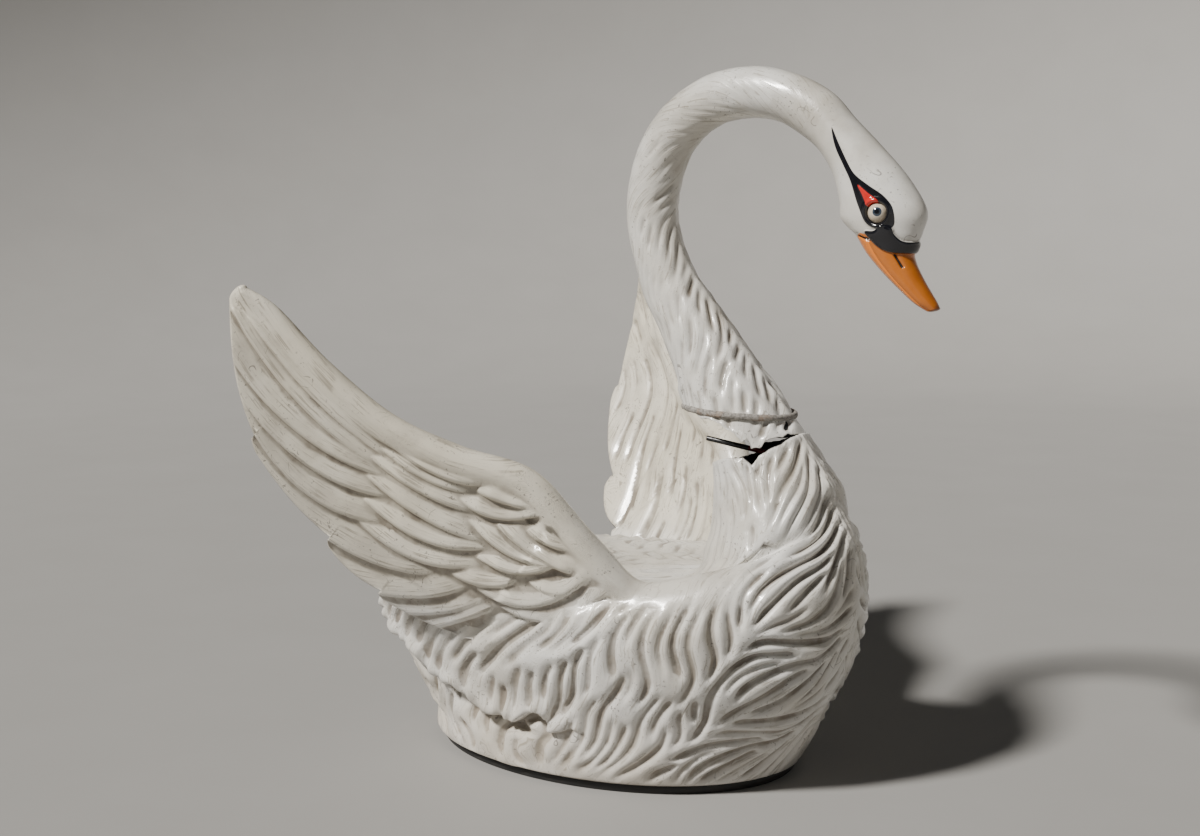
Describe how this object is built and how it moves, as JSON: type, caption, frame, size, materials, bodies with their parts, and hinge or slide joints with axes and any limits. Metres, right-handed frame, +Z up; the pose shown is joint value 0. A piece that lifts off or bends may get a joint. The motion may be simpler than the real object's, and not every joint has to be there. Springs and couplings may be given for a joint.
{
  "type": "swan sculpture",
  "caption": "Large moulded fibreglass swan with raised feathered wings, flat back, and an arched neck broken at its foot, on a thin black board.",
  "frame": {"origin": "middle of the base board's underside, on the floor", "axes": "+X the way the swan faces, +Y to its left, +Z up"},
  "size_m": [1.5351, 1.756, 1.7507],
  "materials": {
    "white_shell": "aged glossy cream-white paint over fibreglass",
    "white_neck": "aged glossy white paint, with painted face and bill",
    "grey_filler": "rough dry filler",
    "dark_steel": "dark scuffed paint",
    "eye_paint": "glossy painted ball",
    "black_board": "flat black paint"
  },
  "bodies": {
    "root": {"body_with_wings": "white_shell", "neck_and_head": "white_neck", "neck_joint_bead": "grey_filler", "armature_tube": "dark_steel", "right_eye": "eye_paint", "left_eye": "eye_paint", "base_board": "black_board"}
  },
  "joints": []
}
